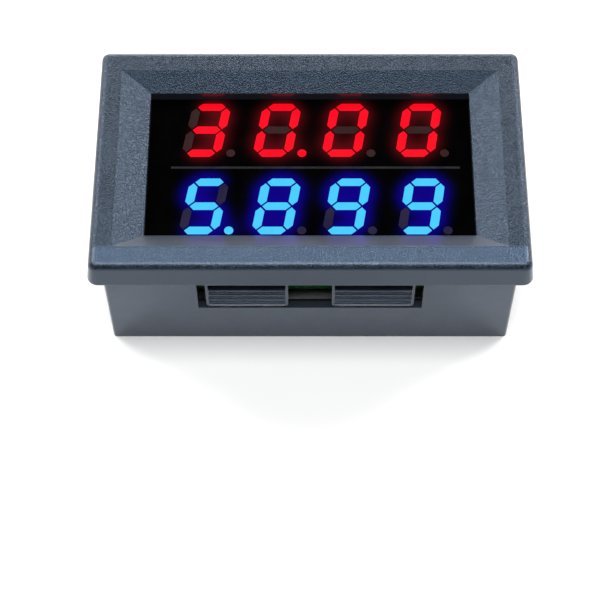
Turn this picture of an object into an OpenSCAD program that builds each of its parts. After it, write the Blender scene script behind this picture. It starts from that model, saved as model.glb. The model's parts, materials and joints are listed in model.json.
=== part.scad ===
// Panel meter with two rows of four seven-segment digits: volts above, amps below.
// It lies on its rear rim: the origin is the middle of the rim, the display faces +Z
// and the top of the digits points to +Y. All lengths are in millimetres.

/* [Case] */
// Width of the bezel at its front
bezel_w = 48; // [47:0.5:56]
// Height of the bezel at its front
bezel_h = 29; // [28.5:0.5:36]
// Depth from the front of the bezel to the rear rim
case_depth = 18; // [17.5:0.5:30]
// Thickness of the flange that lies on the panel
flange_t = 3.2; // [2.8:0.1:4]
// How much further the flange reaches at the panel than at its front, on each side
flange_flare = 0.3; // [0:0.05:0.4]
// Width of the body that passes through the panel
body_w = 45.7; // [44.8:0.1:46]
// Height of the body that passes through the panel
body_h = 26.4; // [26:0.1:27]
// Thickness of the body's walls
wall_t = 1.2; // [1:0.1:1.4]
// Radius of the bezel's front edges and of its corners
edge_r = 0.9; // [0.4:0.1:1.2]
// Radius of the body's upright corners
body_corner_r = 0.4; // [0.2:0.1:0.8]

/* [Bezel frame] */
// Width of the flat band at the left and right of the bezel
band_side = 2.5; // [1.8:0.1:3]
// Width of the flat band above and below
band_long = 2.75; // [1.8:0.05:3]
// Width of the window in the bezel
window_w = 36.4; // [35:0.1:37]
// Height of the window in the bezel
window_h = 19; // [18.6:0.1:19.4]
// Drop of the bezel's slope, from the flat band to the window's lip
slope_drop = 1.5; // [0.8:0.1:1.8]
// Depth of the display's face below the lip
face_recess = 1.2; // [0.8:0.1:1.6]

/* [Spring tongues] */
// Width of the window in each long wall
slot_w = 25.2; // [24:0.1:27]
// Length of that window, from the flange to the rear
slot_l = 8; // [7.8:0.1:9]
// Width of one tongue
tongue_w = 9.2; // [8:0.1:9.5]
// Distance between the centres of the two tongues
tongue_pitch = 14.1; // [13.6:0.1:14.4]
// Length of a tongue from the flange to its free end
tongue_l = 7.55; // [7.3:0.05:7.7]
// Thickness of a tongue
tongue_t = 1.1; // [0.9:0.1:1.3]
// Radius of the free end's corners
tongue_corner_r = 0.6; // [0.3:0.1:1.2]
// Number of saw-tooth ribs on a tongue
rib_count = 4; // [2:1:4]
// Distance from one rib to the next
rib_pitch = 1.02; // [0.8:0.02:1.1]
// Distance from the flange to the first rib
first_rib = 3.5; // [3.4:0.05:3.7]
// Height of a rib's catching face
rib_h = 0.3; // [0.15:0.05:0.5]
// Bare margin at each side of the ribs
rib_margin = 0.3; // [0.2:0.05:0.8]
// Width of the thinned neck ahead of the first rib
neck_l = 0.6; // [0.4:0.05:0.9]
// Depth of the thinned neck
neck_depth = 0.5; // [0.2:0.05:0.6]

/* [Digits] */
// Height of a digit
digit_h = 7.3; // [6.8:0.05:7.4]
// Width of a digit before it is slanted
digit_w = 4.42; // [3.8:0.02:4.6]
// Width of a segment
segment_w = 0.97; // [0.7:0.01:1.05]
// Gap between neighbouring segments
segment_gap = 0.22; // [0.15:0.01:0.35]
// Slant of the digits in degrees
slant = 9.5; // [0:0.5:12]
// Distance from one digit to the next
digit_pitch = 8.06; // [7.6:0.02:8.2]
// How far the third digit stands towards the second
third_digit_shift = 0.26; // [0:0.02:0.4]
// Middle of the row of digits, right of the display's middle
digits_right = 0.3; // [-0.4:0.05:0.6]
// Distance between the two rows
row_pitch = 10.24; // [9.6:0.02:10.3]
// Middle of the two rows, above the display's middle
rows_up = 0.17; // [-0.2:0.01:0.3]
// Diameter of a decimal point
point_d = 1; // [0.7:0.05:1.1]
// Distance of the decimal point right of its digit's middle line
point_right = 3.34; // [3.2:0.02:3.5]
// Distance of the decimal point below its digit's middle
point_down = 3.16; // [2.8:0.02:3.3]
// Length of the dividing strip between the rows
divider_l = 32.5; // [20:0.5:34]
// Width of the dividing strip
divider_w = 0.28; // [0.2:0.02:0.5]
// Middle of the dividing strip, right of the display's middle
divider_right = 0.6; // [-0.6:0.1:0.8]

/* [Display module] */
// How far the display reaches behind the bezel on each side
display_lap = 0.8; // [0.5:0.1:1]
// Depth of the display module
display_h = 6; // [5.4:0.1:6.2]
// Thickness of the display's outer walls
display_wall = 0.9; // [0.7:0.05:1]
// Thickness of the display's base plate
display_base_t = 1; // [0.8:0.1:1.2]
// Hollow behind the display's base plate
display_hollow = 0.8; // [0.7:0.05:1]
// Gap between a segment's lens and its aperture
lens_gap = 0.02; // [0.01:0.01:0.04]
// Diameter of a display pin
display_pin_d = 0.5; // [0.4:0.05:0.6]
// Number of display pins in a row
display_pin_count = 8; // [6:1:8]
// Distance from one display pin to the next
display_pin_pitch = 2.54; // [2:0.01:2.6]
// Distance between the two rows of display pins
display_row_gap = 17.8; // [17:0.1:18]

/* [Circuit board] */
// Thickness of the circuit board
board_t = 1.6; // [1:0.1:1.6]
// Clearance at each end of the board
board_end_gap = 0.3; // [0.2:0.05:0.5]
// Room above and below the board, in which the tongues bend
board_side_gap = 0.8; // [0.6:0.1:1]
// Width of the corner posts that the board rests on
post_w = 2.2; // [1.6:0.1:2.2]
// Reach of the snap noses that hold the board
nose_reach = 0.75; // [0.6:0.05:1]

/* [Connectors] */
// Pitch of the three supply pins
supply_pitch = 2; // [1.8:0.05:2.5]
// Height of the supply header
supply_h = 6; // [5:0.1:6.6]
// Pitch of the two current pins
current_pitch = 3.96; // [3.5:0.02:4.2]
// Height of the current header
current_h = 7; // [6:0.1:7.2]
// Diameter of the shunt wire
shunt_d = 1.2; // [0.8:0.1:1.6]
// Span between the legs of the shunt
shunt_span = 7.6; // [6:0.1:8]
// Height of the shunt over the board
shunt_h = 5; // [4.6:0.1:6]

/* [Trimmers] */
// Diameter of a trimmer's rotor
rotor_d = 3; // [2.4:0.1:3.2]
// Thickness of a trimmer's rotor
rotor_t = 0.8; // [0.6:0.05:1]
// Diameter of the rivet that the rotor turns on
rivet_d = 0.9; // [0.7:0.05:1.1]
// Radial running clearance between rotor and rivet
rotor_clearance = 0.05; // [0.02:0.01:0.08]

/* [Hidden] */
$fn = 48;
eps = 0.01;

// Heights of the main planes over the rear rim
flange_z = case_depth - flange_t;
lip_z = case_depth - slope_drop;
face_z = lip_z - face_recess;
board_front_z = face_z - display_h;
board_rear_z = board_front_z - board_t;
base_z = board_front_z + display_hollow;
die_t = 0.2;
lens_z = base_z + display_base_t + die_t;

// Sizes that follow from the case
cavity_w = body_w - 2 * wall_t;
cavity_h = body_h - 2 * wall_t;
board_w = cavity_w - 2 * board_end_gap;
board_h = cavity_h - 2 * board_side_gap;
display_w = window_w + 2 * display_lap;
display_l = window_h + 2 * display_lap;

// Digits: half spans of the segments' middle lines, and where each digit stands
half_x = (digit_w - segment_w) / 2;
half_y = (digit_h - segment_w) / 2;
shear = tan(slant);
VOLTS = 0;
AMPS = 1;
ROW_NAMES = ["volts", "amps"];
// Segments that glow for the readings 30.00 and 5.899, with p for the point
READING = [
    ["abcdg", "abcdefp", "abcdef", "abcdef"],
    ["acdfgp", "abcdefg", "abcdfg", "abcdfg"]
];

// Board parts: where each stands on the rear face
pin_tail = 0.5;
pin_hole_gap = 0.2;
fit_gap = 0.02;
supply_pin = 0.5;
current_pin = 1.1;
supply_w = 2 * supply_pitch + 3.9;
supply_d = 4.5;
current_w = current_pitch + 3.94;
current_d = 6.4;
header_edge = 2.6;
supply_x = -(board_w / 2 - header_edge - supply_w / 2);
supply_y = -6.2;
current_x = board_w / 2 - header_edge - current_w / 2;
current_y = -5;
shunt_y = 3.4;
trimmer_w = 3.8;
trimmer_l = 3.6;
trimmer_h = 1.1;
rotor_lift = 0.1;
volts_trimmer_at = [-9, 4.4];
amps_trimmer_at = [8.2, -5.2];
controller_at = [-1.5, 0.4];
amplifier_at = [7, 0.9];
regulator_at = [supply_x + 0.6, 5];
diode_at = [supply_x, -1];
driver_y = -5;
capacitor_y = 5.2;
resistor_y = 6.85;
controller_size = [4.4, 6.5, 1];
amplifier_size = [3.9, 4.9, 1.4];
regulator_size = [4.5, 2.5, 1.4];
diode_size = [4.3, 2.6, 2];
driver_size = [2.9, 1.3, 0.95];
driver_pitch = 3.5;
first_driver_x = -8.2;
capacitor_size = [1.6, 0.8, 0.8];
resistor_size = [1.6, 0.8, 0.45];
chip_cap_l = 0.3;
chip_pitch = 2.5;

function digit_x(i) = digits_right + (i - 1.5) * digit_pitch
    - (i == 2 ? third_digit_shift : 0);
function row_y(row) = rows_up + (row == VOLTS ? 1 : -1) * row_pitch / 2;
function slanted(p) = [p.x + shear * p.y, p.y];

// A bar with pointed ends: half length l, half width t, lying or standing
function bar(l, t, upright) = [
    for (p = [[-l, 0], [t - l, t], [l - t, t], [l, 0], [l - t, -t], [t - l, -t]])
        upright ? [p.y, p.x] : p
];

// Outline of one segment of a digit, grown by g on every side
function segment(s, g) =
    let (
        upright = len(search(s, "bcef")) > 0,
        across = s == "b" || s == "c" ? half_x : (upright ? -half_x : 0),
        up = s == "a" ? half_y : s == "d" ? -half_y : s == "g" ? 0
            : (s == "b" || s == "f" ? half_y / 2 : -half_y / 2),
        reach = (upright ? half_y / 2 : half_x) - (segment_gap - 2 * g) / sqrt(2)
    )
    [for (p = bar(reach, segment_w / 2 + g, upright)) slanted(p + [across, up])];

function is_lit(row, i, s) = len(search(s, READING[row][i])) > 0;
function digit_node(row, i, lit) =
    str(ROW_NAMES[row], "_digit_", i + 1, lit ? "_lit" : "_off");

DIGIT_NODES = [
    for (row = [VOLTS, AMPS], i = [0 : 3], lit = [true, false]) digit_node(row, i, lit)
];

// ---------------------------------------------------------------- shared shapes

// Rectangle with rounded corners
module rounded_rect(w, h, r) {
    square([w - 2 * r, h], center = true);
    square([w, h - 2 * r], center = true);
    for (x = [-1, 1], y = [-1, 1])
        translate([x * (w / 2 - r), y * (h / 2 - r)]) circle(r);
}

// Prism of the child outline, which lies in XZ, carried along Y over the length l
module along_y(l) {
    rotate([90, 0, 0]) linear_extrude(l, center = true) children();
}

// Prism of the child outline, which lies in YZ, carried along X over the length l
module along_x(l) {
    rotate([90, 0, 90]) linear_extrude(l, center = true) children();
}

// Places a board part, drawn upright on z = 0, on the rear face of the board
module on_rear(at, turn = 0) {
    translate([at.x, at.y, board_rear_z]) rotate([180, 0, turn]) children();
}

// Solder cone round a pin of radius r
module fillet(r, reach = 0.45, rise = 0.55) {
    rotate_extrude() polygon([
        [r + fit_gap, 0], [r + reach, 0], [r + reach * 0.45, rise * 0.35], [r + fit_gap, rise]
    ]);
}

// ---------------------------------------------------------------- case

// Cross section of the bezel: flares towards the panel, rounded at the front
module bezel_section(span) {
    top = case_depth - edge_r;
    foot = span / 2 + flange_flare;
    polygon([[-foot, flange_z], [foot, flange_z], [span / 2, top], [-span / 2, top]]);
    translate([edge_r - span / 2, flange_z]) square([span - 2 * edge_r, flange_t]);
    for (s = [-1, 1]) translate([s * (span / 2 - edge_r), top]) circle(edge_r);
}

// Corner of the bezel: a ball on a cone that flares as the sides do
module bezel_corner() {
    translate([0, 0, flange_z])
        cylinder(h = flange_t - edge_r, r1 = edge_r + flange_flare, r2 = edge_r);
    translate([0, 0, case_depth - edge_r]) sphere(edge_r);
}

module bezel_block() {
    along_y(bezel_h - 2 * edge_r) bezel_section(bezel_w);
    along_x(bezel_w - 2 * edge_r) bezel_section(bezel_h);
    for (x = [-1, 1], y = [-1, 1])
        translate([x * (bezel_w / 2 - edge_r), y * (bezel_h / 2 - edge_r)]) bezel_corner();
}

// Cross section of the picture-frame slope, from the lip up through the front
module slope_section(lip, crease) {
    run = (crease - lip) / 2 / slope_drop;
    top = lip / 2 + run * (slope_drop + 1);
    polygon([[-lip / 2, lip_z], [lip / 2, lip_z], [top, case_depth + 1], [-top, case_depth + 1]]);
}

module slope_cut() {
    intersection() {
        along_y(bezel_h) slope_section(window_w, bezel_w - 2 * band_side);
        along_x(bezel_w) slope_section(window_h, bezel_h - 2 * band_long);
    }
}

// One tongue for the wall at -Y, with its root in the flange
module tongue() {
    end_z = flange_z - tongue_l;
    rib_z = flange_z - first_rib;
    rib_w = tongue_w - 2 * rib_margin;
    heel = rib_h * 0.15;
    teeth = [
        for (i = [0 : rib_count - 1]) each [
            [-rib_h, rib_z - i * rib_pitch],
            [-heel, max(rib_z - (i + 1) * rib_pitch, end_z + 0.1)]
        ]
    ];
    last_z = teeth[len(teeth) - 1].y;
    intersection() {
        union() {
            difference() {
                along_x(tongue_w) translate([0, end_z]) square([tongue_t, tongue_l + 0.3]);
                along_x(rib_w) translate([-eps, rib_z]) square([neck_depth + eps, neck_l]);
            }
            along_x(rib_w) polygon(concat([[0.3, rib_z]], teeth, [[0.3, last_z]]));
        }
        // Free end with rounded corners
        along_y(4) {
            translate([-tongue_w / 2, end_z + tongue_corner_r]) square([tongue_w, tongue_l]);
            translate([tongue_corner_r - tongue_w / 2, end_z])
                square([tongue_w - 2 * tongue_corner_r, 2]);
            for (s = [-1, 1])
                translate([s * (tongue_w / 2 - tongue_corner_r), end_z + tongue_corner_r])
                    circle(tongue_corner_r);
        }
    }
}

// Post in a corner of the cavity, from the front wall to the board
module corner_posts() {
    for (x = [-1, 1], y = [-1, 1])
        translate([x * (cavity_w - post_w + 0.2) / 2, y * (cavity_h - post_w + 0.2) / 2,
                   (board_front_z + face_z + 0.2) / 2])
            cube([post_w + 0.2, post_w + 0.2, display_h + 0.2], center = true);
}

// Wedge noses on the short walls, with their flat side against the board
module snap_noses() {
    for (side = [0, 180], y = [-5, 5])
        rotate([0, 0, side]) translate([-cavity_w / 2, y, 0])
            along_y(3) polygon([
                [-0.2, board_rear_z], [nose_reach, board_rear_z],
                [nose_reach, board_rear_z - 0.3], [0, board_rear_z - 1.4], [-0.2, board_rear_z - 1.4]
            ]);
}

module case() {
    color([0.2, 0.22, 0.26]) {
        difference() {
            union() {
                bezel_block();
                linear_extrude(flange_z + 1) rounded_rect(body_w, body_h, body_corner_r);
            }
            translate([0, 0, -1])
                linear_extrude(face_z + 1) square([cavity_w, cavity_h], center = true);
            linear_extrude(case_depth + 1) square([window_w, window_h], center = true);
            slope_cut();
            translate([0, 0, flange_z - slot_l / 2])
                cube([slot_w, body_h + 2, slot_l], center = true);
        }
        for (side = [0, 180], x = [-1, 1])
            rotate([0, 0, side]) translate([x * tongue_pitch / 2, -body_h / 2, 0]) tongue();
        corner_posts();
        snap_noses();
    }
}

// ---------------------------------------------------------------- display

// Prism of segment s of the digit at place i of a row, or of its point
module segment_prism(row, i, s, g, h) {
    translate([digit_x(i), row_y(row)])
        if (s == "p")
            translate(slanted([point_right, -point_down])) cylinder(h = h, r = point_d / 2 + g);
        else
            linear_extrude(h) polygon(segment(s, g));
}

// Reflector block with one slanted cavity for each of the 64 segments
module display_housing() {
    color([0.03, 0.03, 0.035]) difference() {
        translate([-display_w / 2, -display_l / 2, board_front_z])
            cube([display_w, display_l, display_h]);
        translate([0, 0, board_front_z - 1])
            linear_extrude(display_hollow + display_base_t + 1)
                square([display_w - 2 * display_wall, display_l - 2 * display_wall], center = true);
        for (row = [VOLTS, AMPS], i = [0 : 3], s = "abcdefgp")
            translate([0, 0, base_z]) segment_prism(row, i, s, lens_gap, display_h);
        translate([divider_right, rows_up, face_z])
            cube([divider_l, divider_w, 0.24], center = true);
    }
}

// Diffusing lenses of one digit, either those that glow or those that are dark
module digit_lenses(row, i, lit) {
    glow = row == VOLTS ? [1, 0.02, 0.08] : [0.3, 0.84, 1];
    color(lit ? glow : [0.17, 0.14, 0.15])
        for (s = "abcdefgp")
            if (is_lit(row, i, s) == lit)
                translate([0, 0, lens_z]) segment_prism(row, i, s, 0, face_z - lens_z);
}

module display_base() {
    color([0.1, 0.3, 0.14])
        translate([0, 0, base_z]) linear_extrude(display_base_t)
            square([display_w - 2 * display_wall - 0.1, display_l - 2 * display_wall - 0.1],
                   center = true);
}

// Light-emitting dies on the base plate, one behind each lens
module led_dies() {
    color([0.9, 0.85, 0.4])
        for (row = [VOLTS, AMPS], i = [0 : 3], s = "abcdefgp") {
            c = s == "p" ? slanted([point_right, -point_down])
                : let (o = segment(s, 0)) [o[0].x + o[3].x, o[0].y + o[3].y] / 2;
            translate([digit_x(i) + c.x, row_y(row) + c.y, lens_z - die_t / 2])
                cube([0.3, 0.3, die_t], center = true);
        }
}

module row_divider() {
    color([0.2, 0.2, 0.2])
        translate([divider_right, rows_up, face_z - 0.06])
            cube([divider_l, divider_w, 0.12], center = true);
}

// Places the child at every display pin
module at_display_pins() {
    for (s = [-1, 1], i = [0 : display_pin_count - 1])
        translate([(i - (display_pin_count - 1) / 2) * display_pin_pitch,
                   s * display_row_gap / 2]) children();
}

module display_pins() {
    color([0.75, 0.76, 0.78])
        at_display_pins()
            translate([0, 0, board_rear_z - 0.9])
                cylinder(h = base_z - board_rear_z + 0.9, d = display_pin_d);
}

module display_solder() {
    color([0.7, 0.71, 0.72])
        at_display_pins()
            translate([0, 0, board_rear_z]) rotate([180, 0, 0]) fillet(display_pin_d / 2);
}

// ---------------------------------------------------------------- circuit board

// Places the child at each supply pin
module at_supply_pins() {
    for (i = [-1 : 1]) translate([supply_x + i * supply_pitch, supply_y]) children();
}

// Places the child at each current pin
module at_current_pins() {
    for (s = [-0.5, 0.5]) translate([current_x + s * current_pitch, current_y]) children();
}

// Places the child at each leg of the shunt
module at_shunt_legs() {
    for (s = [-0.5, 0.5]) translate([current_x + s * shunt_span, shunt_y]) children();
}

module circuit_board() {
    color([0.03, 0.27, 0.09]) difference() {
        translate([0, 0, board_rear_z])
            linear_extrude(board_t) rounded_rect(board_w, board_h, 0.5);
        translate([0, 0, board_rear_z - 1]) {
            at_display_pins() cylinder(h = board_t + 2, d = display_pin_d + 2 * pin_hole_gap);
            at_supply_pins()
                cylinder(h = board_t + 2, d = supply_pin * sqrt(2) + 2 * pin_hole_gap);
            at_current_pins()
                cylinder(h = board_t + 2, d = current_pin * sqrt(2) + 2 * pin_hole_gap);
            at_shunt_legs() cylinder(h = board_t + 2, d = shunt_d + 2 * pin_hole_gap);
        }
    }
}

// Square pin from its tail in front of the board to h over the rear face
module board_pin(w, h, z) {
    translate([-w / 2, -w / 2, board_rear_z - h]) cube([w, w, h + board_t + z]);
}

// Shrouded three-way header: keyed by two slots in one long wall
module supply_header() {
    wall = 0.6;
    floor_t = 1.6;
    color([0.93, 0.92, 0.88]) on_rear([supply_x, supply_y]) difference() {
        translate([-supply_w / 2, -supply_d / 2, 0]) cube([supply_w, supply_d, supply_h]);
        translate([wall - supply_w / 2, wall - supply_d / 2, floor_t])
            cube([supply_w - 2 * wall, supply_d - 2 * wall, supply_h]);
        for (s = [-0.5, 0.5])
            translate([s * supply_pitch - 0.5, -supply_d / 2 - 1, floor_t]) cube([1, 1.8, supply_h]);
        for (s = [-1, 1])
            translate([s * supply_w / 2, 0, supply_h])
                rotate([0, 90, 0]) cylinder(h = 2, r = 0.9, center = true);
        for (i = [-1 : 1])
            translate([i * supply_pitch, 0, 0])
                cube([supply_pin + 2 * fit_gap, supply_pin + 2 * fit_gap, 5], center = true);
    }
}

module supply_pins() {
    color([0.8, 0.8, 0.82]) at_supply_pins() board_pin(supply_pin, supply_h - 0.9, pin_tail);
}

// Open two-way header with a high latch wall behind the pins
module current_header() {
    base_t = 2.6;
    latch_t = 1.2;
    color([0.93, 0.92, 0.88]) on_rear([current_x, current_y]) difference() {
        union() {
            translate([-current_w / 2, -current_d / 2, 0]) cube([current_w, current_d, base_t]);
            translate([0, current_d / 2 - latch_t / 2, 0])
                along_x(current_w) polygon([
                    [-latch_t / 2, 0], [latch_t / 2, 0], [latch_t / 2, current_h],
                    [0, current_h], [-latch_t / 2 - 0.35, current_h - 0.9],
                    [-latch_t / 2, current_h - 1.4]
                ]);
        }
        for (s = [-0.5, 0.5])
            translate([s * current_pitch, 0, 0])
                cube([current_pin + 2 * fit_gap, current_pin + 2 * fit_gap, 6], center = true);
        translate([0, current_d / 2, current_h])
            cube([1.6, 3, 2 * (current_h - base_t - 0.6)], center = true);
    }
}

module current_pins() {
    color([0.8, 0.8, 0.82]) at_current_pins() board_pin(current_pin, current_h - 0.6, pin_tail);
}

// Solder round the headers' tails, on the board's front face in the display's hollow
module header_solder() {
    color([0.7, 0.71, 0.72]) translate([0, 0, board_front_z]) {
        at_supply_pins() fillet(supply_pin * sqrt(2) / 2, 0.5, 0.45);
        at_current_pins() fillet(current_pin * sqrt(2) / 2, 0.6, 0.45);
    }
}

// Bowed wire that carries the measured current, both legs in the board
module shunt_link() {
    bend_r = shunt_span / 2;
    leg = shunt_h - bend_r;
    color([0.72, 0.45, 0.32]) {
        translate([current_x, shunt_y, board_rear_z - leg]) rotate([-90, 0, 0])
            rotate_extrude(angle = 180) translate([bend_r, 0]) circle(shunt_d / 2);
        at_shunt_legs() translate([0, 0, board_rear_z - leg])
            cylinder(h = leg + board_t, d = shunt_d);
    }
}

module shunt_solder() {
    color([0.7, 0.71, 0.72])
        at_shunt_legs() translate([0, 0, board_rear_z]) rotate([180, 0, 0])
            fillet(shunt_d / 2, 0.6, 0.7);
}

// ---------------------------------------------------------------- board parts

// Moulded chip body: both pairs of sides taper away from the parting line
module moulded_body(size, lift) {
    h = size.z;
    taper = h * 0.1;
    module section(span) polygon([
        [taper - span / 2, lift], [span / 2 - taper, lift], [span / 2, lift + h / 2],
        [span / 2 - taper, lift + h], [taper - span / 2, lift + h], [-span / 2, lift + h / 2]
    ]);
    intersection() {
        along_y(size.y + 1) section(size.x);
        along_x(size.x + 1) section(size.y);
    }
}

// Gull-wing lead of width w: from the body's side at height h down to the board, reach r
module gull_lead(w, r, h, t = 0.15) {
    knee = r * 0.35;
    foot = r * 0.55;
    along_y(w) polygon([
        [0, h - t / 2], [knee, h - t / 2], [r - foot, 0], [r, 0], [r, t],
        [r - foot + t, t], [knee + t, h + t / 2], [0, h + t / 2]
    ]);
}

// Leads along both long sides of a chip of width w over its body
module lead_rows(count, pitch, lead_w, w, r, h) {
    for (side = [0, 180], i = [0 : count - 1])
        rotate([0, 0, side]) translate([0, (i - (count - 1) / 2) * pitch, 0])
            translate([w / 2, 0, 0]) gull_lead(lead_w, r, h);
}

module controller_body() {
    color([0.07, 0.07, 0.08]) on_rear(controller_at, 90) difference() {
        moulded_body(controller_size, 0.1);
        translate([-1.5, -2.5, 1]) cylinder(h = 1, r = 0.35);
    }
}

module controller_leads() {
    color([0.75, 0.76, 0.78]) on_rear(controller_at, 90)
        lead_rows(10, 0.65, 0.24, controller_size.x, 1, 0.6);
}

module amplifier_body() {
    color([0.07, 0.07, 0.08]) on_rear(amplifier_at, 90) difference() {
        moulded_body(amplifier_size, 0.15);
        translate([-1.2, -1.8, 1.45]) cylinder(h = 1, r = 0.4);
    }
}

module amplifier_leads() {
    color([0.75, 0.76, 0.78]) on_rear(amplifier_at, 90)
        lead_rows(4, 1.27, 0.42, amplifier_size.x, 1.05, 0.85);
}

module regulator_body() {
    color([0.07, 0.07, 0.08]) on_rear(regulator_at) moulded_body(regulator_size, 0.12);
}

module regulator_leads() {
    color([0.75, 0.76, 0.78]) on_rear(regulator_at) {
        for (i = [-1 : 1])
            translate([i * 1.5 - 0.22, -2.15, 0]) cube([0.44, 1.03, 0.12]);
        translate([-0.85, -1.12, 0]) cube([1.7, 3, 0.12]);
    }
}

module diode_body() {
    color([0.07, 0.07, 0.08]) on_rear(diode_at) moulded_body(diode_size, 0.1);
}

// Flat straps that leave the diode at its parting line and fold under its ends
module diode_leads() {
    color([0.75, 0.76, 0.78]) on_rear(diode_at)
        for (side = [0, 180]) rotate([0, 0, side]) translate([diode_size.x / 2, 0, 0])
            along_y(1.4) polygon([
                [0, 1.02], [0.25, 1.02], [0.25, 0.15], [-0.6, 0.15 - 0.06],
                [-0.6, 0], [0.4, 0], [0.4, 1.18], [0, 1.18]
            ]);
}

// Places the child at each digit driver
module at_drivers() {
    for (i = [0 : 3]) on_rear([first_driver_x + driver_pitch * i, driver_y]) children();
}

module driver_bodies() {
    color([0.07, 0.07, 0.08]) at_drivers() moulded_body(driver_size, 0.08);
}

module driver_leads() {
    color([0.75, 0.76, 0.78]) at_drivers() {
        for (x = [-0.95, 0.95])
            translate([x, -driver_size.y / 2, 0]) rotate([0, 0, -90]) gull_lead(0.4, 0.5, 0.55, 0.12);
        translate([0, driver_size.y / 2, 0]) rotate([0, 0, 90]) gull_lead(0.4, 0.5, 0.55, 0.12);
    }
}

// Places the child at each chip capacitor
module at_capacitors() {
    for (i = [0 : 5]) on_rear([chip_pitch * (i - 2), capacitor_y]) children();
    for (s = [-1, 1]) on_rear([supply_x + s * 2.6, 8.9]) children();
}

// Places the child at each chip resistor
module at_resistors() {
    for (i = [0 : 5]) on_rear([chip_pitch * (i - 2), resistor_y]) children();
    for (i = [0 : 4]) on_rear([chip_pitch * (i - 2.6), -6.9]) children();
    for (i = [0 : 2]) on_rear([current_x + chip_pitch * (i - 1), 8.2]) children();
}

module chip_body(size) {
    translate([0, 0, size.z / 2]) cube([size.x - 2 * chip_cap_l, size.y, size.z], center = true);
}

module chip_ends(size) {
    for (s = [-1, 1])
        translate([s * (size.x - chip_cap_l) / 2, 0, size.z / 2])
            cube([chip_cap_l, size.y, size.z], center = true);
}

module capacitor_bodies() {
    color([0.62, 0.47, 0.33]) at_capacitors() chip_body(capacitor_size);
}

module capacitor_ends() {
    color([0.78, 0.78, 0.8]) at_capacitors() chip_ends(capacitor_size);
}

module resistor_bodies() {
    color([0.08, 0.08, 0.09]) at_resistors() chip_body(resistor_size);
}

module resistor_ends() {
    color([0.78, 0.78, 0.8]) at_resistors() chip_ends(resistor_size);
}

// ---------------------------------------------------------------- trimmers

// Places the child at each trimmer
module at_trimmers() {
    on_rear(volts_trimmer_at) children();
    on_rear(amps_trimmer_at) children();
}

module trimmer_bases() {
    color([0.85, 0.86, 0.88]) at_trimmers() difference() {
        intersection() {
            linear_extrude(trimmer_h) rounded_rect(trimmer_w, trimmer_l, 0.3);
            translate([0, 0, -1]) cylinder(h = trimmer_h + 2, d = trimmer_w + 0.9);
        }
        translate([0, 0, -1]) cylinder(h = trimmer_h + 2, r = rivet_d / 2 + fit_gap);
    }
}

module trimmer_terminals() {
    strap = 0.2;
    color([0.78, 0.78, 0.8]) at_trimmers() {
        for (x = [-1.1, 1.1])
            translate([x, -trimmer_l / 2 - strap, 0]) along_x(0.8) polygon([
                [-0.4, 0], [strap, 0], [strap, trimmer_h - 0.1], [0, trimmer_h - 0.1],
                [0, strap], [-0.4, strap]
            ]);
        translate([0, trimmer_l / 2 + strap, 0]) along_x(1.2) polygon([
            [0.4, 0], [-strap, 0], [-strap, trimmer_h - 0.1], [0, trimmer_h - 0.1],
            [0, strap], [0.4, strap]
        ]);
    }
}

// Rivet with a flat head, which keeps the rotor on its base
module trimmer_rivets() {
    top = trimmer_h + rotor_lift + rotor_t + rotor_lift;
    color([0.8, 0.68, 0.4]) at_trimmers() {
        cylinder(h = top + eps, d = rivet_d);
        translate([0, 0, top]) cylinder(h = 0.2, d = rivet_d + 0.5);
    }
}

// Rotor plate with a cross slot for the screwdriver
module rotor(at) {
    z = trimmer_h + rotor_lift;
    slot_w = rivet_d * 0.6;
    color([0.82, 0.78, 0.66]) on_rear(at) difference() {
        translate([0, 0, z]) cylinder(h = rotor_t, d = rotor_d);
        translate([0, 0, z - 1])
            cylinder(h = rotor_t + 2, r = rivet_d / 2 + rotor_clearance);
        for (turn = [0, 90]) rotate([0, 0, turn])
            translate([0, 0, z + rotor_t])
                cube([rotor_d - 0.5, slot_w, rotor_t], center = true);
    }
}

module volts_trimmer_rotor() {
    rotor(volts_trimmer_at);
}

module amps_trimmer_rotor() {
    rotor(amps_trimmer_at);
}

// Low bead of solder on a pad at the board's front edge, by the tongues' gap
module edge_pad_solder() {
    color([0.8, 0.8, 0.78])
        translate([1.5, 0.45 - board_h / 2, board_front_z])
            intersection() {
                translate([0, 0, -0.15]) sphere(0.4);
                linear_extrude(1) square(2, center = true);
            }
}

// ---------------------------------------------------------------- nodes

for (row = [VOLTS, AMPS], i = [0 : 3], lit = [true, false])
    digit_lenses(row, i, lit);
case();
display_housing();
display_base();
led_dies();
row_divider();
display_pins();
display_solder();
circuit_board();
supply_header();
supply_pins();
current_header();
current_pins();
header_solder();
shunt_link();
shunt_solder();
controller_body();
controller_leads();
amplifier_body();
amplifier_leads();
regulator_body();
regulator_leads();
diode_body();
diode_leads();
driver_bodies();
driver_leads();
capacitor_bodies();
capacitor_ends();
resistor_bodies();
resistor_ends();
trimmer_bases();
trimmer_terminals();
trimmer_rivets();
volts_trimmer_rotor();
amps_trimmer_rotor();
edge_pad_solder();
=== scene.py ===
"""Looks of a panel meter with two rows of four glowing digits: volts above, amps below.

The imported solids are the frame: they stay where they are and get their finishes here. The
display's block is made again with a fine mesh on its face, which carries the glow that the
lit segments leave round them. All lengths are in metres, +Z is the way the display faces
and +Y the top of the digits.
"""

from __future__ import annotations

import json
import logging
import math
import sys
from dataclasses import dataclass, field
from enum import Enum

import bmesh
import bpy
import numpy as np
from mathutils import Matrix, Vector

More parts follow.
